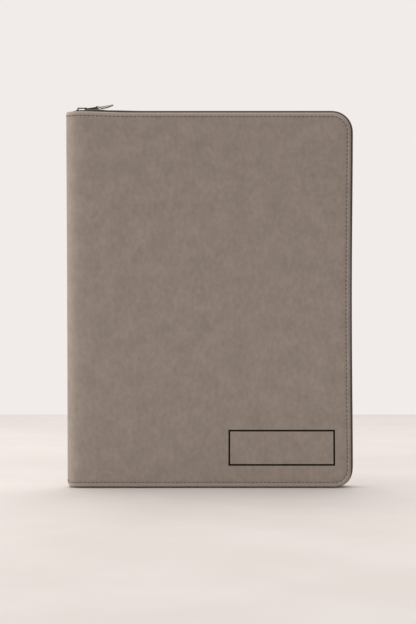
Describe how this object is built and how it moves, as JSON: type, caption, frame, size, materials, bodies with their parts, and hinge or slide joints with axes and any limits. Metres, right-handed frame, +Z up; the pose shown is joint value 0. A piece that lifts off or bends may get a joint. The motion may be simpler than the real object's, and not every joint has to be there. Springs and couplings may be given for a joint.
{
  "type": "zippered padfolio",
  "caption": "Padded letter-size portfolio case with rounded free corners, a zip round its open sides, a pull tab, an organiser and a writing pad inside.",
  "frame": {"origin": "centre of the bounding box seen from above, at the lower edge that the closed case stands on", "axes": "+Z up along the height, +X from the spine to the free edge, -Y out of the front cover"},
  "size_m": [0.2526, 0.024, 0.339],
  "materials": {
    "leatherette": "matte",
    "foam": "matte",
    "cover_board": "matte",
    "lining_cloth": "matte",
    "pocket_leatherette": "matte",
    "clear_film": "gloss",
    "zipper_tape": "matte",
    "zipper_teeth": "satin",
    "dark_metal": "satin",
    "elastic": "matte",
    "pad_board": "matte",
    "paper": "matte",
    "binding_tape": "matte"
  },
  "bodies": {
    "back_cover": {"back_cover_skin": "leatherette", "back_cover_foam": "foam", "back_cover_board": "cover_board", "back_cover_lining": "lining_cloth", "zipper_tape_back": "zipper_tape", "zipper_teeth_back": "zipper_teeth", "zipper_stops_back": "dark_metal", "pad_sleeve": "pocket_leatherette", "pad_backing": "pad_board", "pad_paper": "paper", "pad_binding": "binding_tape", "pen_loop": "elastic"},
    "spine": {"spine_skin": "leatherette", "spine_padding": "foam", "spine_lining": "lining_cloth"},
    "front_cover": {"front_cover_skin": "leatherette", "front_cover_foam": "foam", "front_cover_board": "cover_board", "front_cover_lining": "lining_cloth", "zipper_tape_front": "zipper_tape", "zipper_teeth_front": "zipper_teeth", "zipper_stops_front": "dark_metal", "document_pocket": "pocket_leatherette", "card_pocket_1": "pocket_leatherette", "card_pocket_2": "pocket_leatherette", "card_pocket_3": "pocket_leatherette", "phone_pocket": "pocket_leatherette", "window_frame": "pocket_leatherette", "window_film": "clear_film"},
    "slider": {"slider_body": "dark_metal", "slider_crown": "dark_metal"},
    "link": {"pull_link": "dark_metal"},
    "tab": {"pull_tab": "leatherette"}
  },
  "joints": [
    {"name": "spine_hinge", "type": "hinge", "parent": "back_cover", "child": "spine", "pos_m": [-0.12397, 0.00967, 0.1655], "axis": [0, 0, -1], "range_deg": [0, 90]},
    {"name": "cover_hinge", "type": "hinge", "parent": "spine", "child": "front_cover", "pos_m": [-0.12397, -0.00967, 0.1655], "axis": [0, 0, -1], "range_deg": [0, 90]},
    {"name": "slider_travel", "type": "slide", "parent": "back_cover", "child": "slider", "axis": [1, 0, 0], "range_m": [0, 0.21]},
    {"name": "link_swing", "type": "hinge", "parent": "slider", "child": "link", "pos_m": [-0.11046, 0, 0.33446], "axis": [0, -1, 0], "range_deg": [-6, 150]},
    {"name": "tab_swing", "type": "hinge", "parent": "link", "child": "tab", "pos_m": [-0.10007, 0, 0.33603], "axis": [0, -1, 0], "range_deg": [-3, 40]}
  ],
  "couplings": [
    {"joint": "spine_hinge", "follows": "cover_hinge", "ratio": 1}
  ]
}
